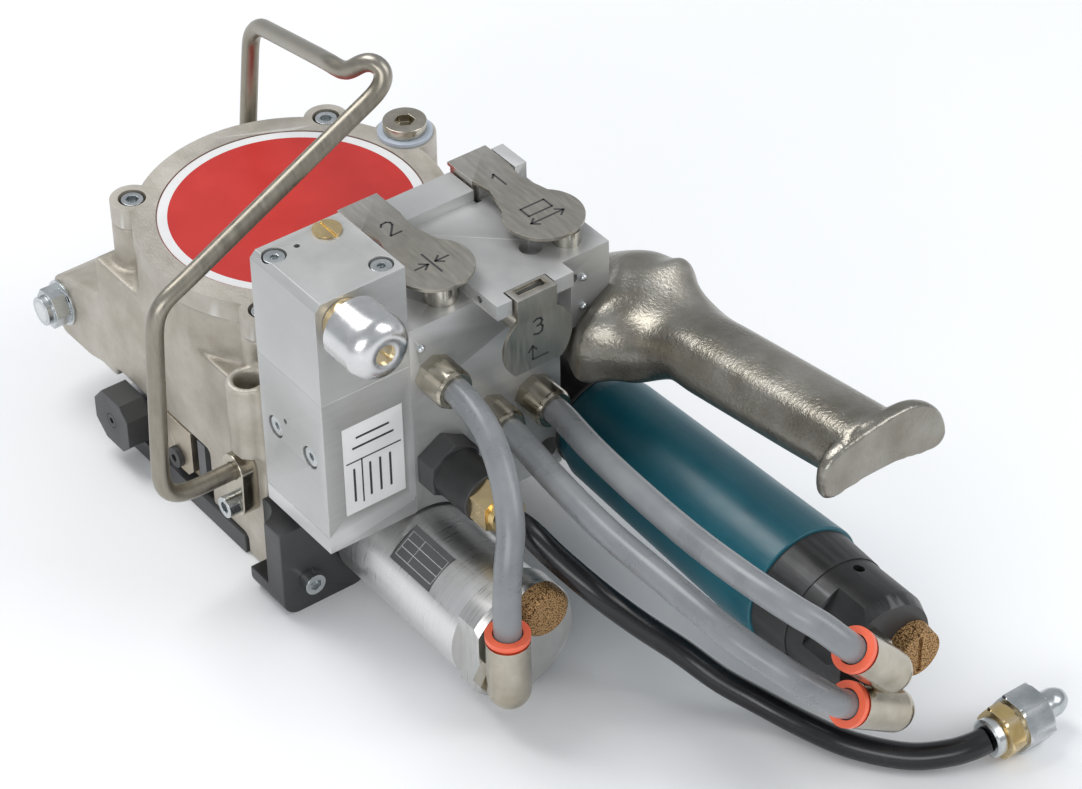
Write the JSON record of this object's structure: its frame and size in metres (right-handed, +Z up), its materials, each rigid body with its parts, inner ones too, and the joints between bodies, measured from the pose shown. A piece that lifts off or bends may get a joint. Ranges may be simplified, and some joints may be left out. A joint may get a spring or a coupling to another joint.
{
  "type": "pneumatic strapping tool",
  "caption": "Hand-held air-powered tool that tensions, friction-welds and cuts plastic strap, with thumb levers, valve block, air motors, grip, hanging bail and air hose.",
  "frame": {"origin": "on the resting plane, under the axis of the round top cover", "axes": "+X along the motors and the grip, +Y away from the open strap side, +Z up"},
  "size_m": [0.4665, 0.2576, 0.2325],
  "materials": {
    "cast_aluminium": "raw gravity casting, matt, slightly mottled",
    "anodised_aluminium": "natural satin anodised",
    "polished_casting": "tumbled and polished casting",
    "turned_aluminium": "turned, fine radial grooves",
    "polished_aluminium": "polished",
    "black_steel": "black oxide, satin",
    "zinc_steel": "bright zinc plated",
    "stainless_steel": "satin stainless",
    "tool_steel": "ground",
    "nickel_brass": "nickel plated",
    "brass": "bare brass",
    "sintered_bronze": "sintered, granular",
    "beige_steel": "yellow passivated",
    "label_red": "printed film",
    "label_white": "printed film",
    "nameplate": "etched plate",
    "teal_sleeve": "moulded, semi-gloss",
    "orange_plastic": "moulded",
    "grey_tube": "extruded polyurethane",
    "black_tube": "smooth extruded",
    "seal": "pressed seal ring"
  },
  "bodies": {
    "frame": {"main_casting": "cast_aluminium", "base_plate": "black_steel", "foot_block": "black_steel", "top_cover": "cast_aluminium", "socket_screws": "zinc_steel", "cover_label": "label_red", "cover_plug": "nickel_brass", "plug_seal": "seal", "pivot_pin": "zinc_steel", "pivot_nut": "zinc_steel", "bearing_cap": "black_steel", "button_screws": "black_steel", "guide_plate": "beige_steel", "weld_motor": "turned_aluminium", "weld_motor_cap": "turned_aluminium", "motor_nameplate": "nameplate", "weld_silencer": "sintered_bronze", "motor_sleeve": "teal_sleeve", "motor_collar": "black_steel", "motor_housing": "black_steel", "motor_silencer": "sintered_bronze", "handle": "polished_casting", "valve_upper": "anodised_aluminium", "valve_lower": "anodised_aluminium", "valve_screws": "zinc_steel", "slotted_plug": "brass", "ball_plugs": "zinc_steel", "manifold_block": "anodised_aluminium", "outlet_block": "anodised_aluminium", "lever_bracket": "anodised_aluminium", "lever_pins": "zinc_steel", "straight_fittings": "nickel_brass", "elbow_fittings": "nickel_brass", "air_hoses": "grey_tube", "inlet_fitting": "black_steel", "inlet_adapter": "brass", "supply_hose": "black_tube", "hose_coupling": "zinc_steel", "bail": "stainless_steel", "bail_clamps": "nickel_brass", "valve_label": "label_white"},
    "feed": {"feed_wheel": "tool_steel", "feed_shaft": "tool_steel", "worm_wheel": "brass"},
    "worm": {"worm_shaft": "tool_steel"},
    "eccentric": {"eccentric_shaft": "tool_steel"},
    "press": {"press_piston": "turned_aluminium"},
    "weld_shoe": {"weld_plate": "tool_steel"},
    "cutter": {"cutter_blade": "black_steel"},
    "lever_1": {"tension_lever": "stainless_steel"},
    "lever_2": {"weld_lever": "stainless_steel"},
    "lever_3": {"stop_lever": "stainless_steel"},
    "plunger_1": {"tension_plunger": "nickel_brass"},
    "plunger_2": {"weld_plunger": "nickel_brass"},
    "plunger_3": {"stop_plunger": "nickel_brass"},
    "ring_1": {"release_ring_1": "orange_plastic"},
    "ring_2": {"release_ring_2": "orange_plastic"},
    "ring_3": {"release_ring_3": "orange_plastic"},
    "regulator": {"regulator_screw": "brass", "regulator_cap": "polished_aluminium"}
  },
  "joints": [
    {"name": "feed_spin", "type": "hinge", "parent": "frame", "child": "feed", "pos_m": [-0.037, 0, 0.024], "axis": [0, 1, 0], "continuous": true},
    {"name": "worm_spin", "type": "hinge", "parent": "frame", "child": "worm", "pos_m": [0, 0.068, 0.058], "axis": [1, 0, 0], "continuous": true},
    {"name": "eccentric_spin", "type": "hinge", "parent": "frame", "child": "eccentric", "pos_m": [0, -0.0245, 0.0285], "axis": [1, 0, 0], "continuous": true},
    {"name": "press_slide", "type": "slide", "parent": "frame", "child": "press", "axis": [0, 0, -1], "range_m": [0, 0.001], "stiffness_N_per_m": 4000, "springref_m": -0.002},
    {"name": "weld_slide", "type": "slide", "parent": "press", "child": "weld_shoe", "axis": [0, 1, 0], "range_m": [-0.001, 0.001]},
    {"name": "cutter_slide", "type": "slide", "parent": "frame", "child": "cutter", "axis": [0, 0, -1], "range_m": [0, 0.0022], "stiffness_N_per_m": 800, "springref_m": -0.004},
    {"name": "lever_1_press", "type": "hinge", "parent": "frame", "child": "lever_1", "pos_m": [0.07, 0.0515, 0.1604], "axis": [0, 1, 0], "range_deg": [0, 3], "stiffness_Nm_per_rad": 0.4, "springref_deg": -8.59},
    {"name": "lever_2_press", "type": "hinge", "parent": "frame", "child": "lever_2", "pos_m": [0.07, -0.005, 0.1604], "axis": [0, 1, 0], "range_deg": [0, 3], "stiffness_Nm_per_rad": 0.4, "springref_deg": -8.59},
    {"name": "lever_3_press", "type": "hinge", "parent": "frame", "child": "lever_3", "pos_m": [0.1424, 0.0233, 0.1552], "axis": [0, 1, 0], "range_deg": [0, 5], "stiffness_Nm_per_rad": 0.2, "springref_deg": -11.46},
    {"name": "plunger_1_slide", "type": "slide", "parent": "frame", "child": "plunger_1", "axis": [0, 0, -1], "range_m": [0, 0.0034]},
    {"name": "plunger_2_slide", "type": "slide", "parent": "frame", "child": "plunger_2", "axis": [0, 0, -1], "range_m": [0, 0.003]},
    {"name": "plunger_3_slide", "type": "slide", "parent": "frame", "child": "plunger_3", "axis": [-1, 0, 0], "range_m": [0, 0.0022]},
    {"name": "ring_1_push", "type": "slide", "parent": "frame", "child": "ring_1", "axis": [0, 0, -1], "range_m": [0, 0.0013], "stiffness_N_per_m": 600, "springref_m": -0.001},
    {"name": "ring_2_push", "type": "slide", "parent": "frame", "child": "ring_2", "axis": [0, 0.8211, -0.5707], "range_m": [0, 0.0013], "stiffness_N_per_m": 600, "springref_m": -0.001},
    {"name": "ring_3_push", "type": "slide", "parent": "frame", "child": "ring_3", "axis": [0, 0.6639, -0.7478], "range_m": [0, 0.0013], "stiffness_N_per_m": 600, "springref_m": -0.001},
    {"name": "regulator_turn", "type": "hinge", "parent": "frame", "child": "regulator", "pos_m": [0.145, -0.0595, 0.174], "axis": [1, 0, 0], "range_deg": [-180, 180]}
  ],
  "couplings": [
    {"joint": "worm_spin", "follows": "feed_spin", "ratio": 24},
    {"joint": "plunger_1_slide", "follows": "lever_1_press", "m_per_rad": 0.056},
    {"joint": "plunger_2_slide", "follows": "lever_2_press", "m_per_rad": 0.048},
    {"joint": "plunger_3_slide", "follows": "lever_3_press", "m_per_rad": 0.0182}
  ]
}
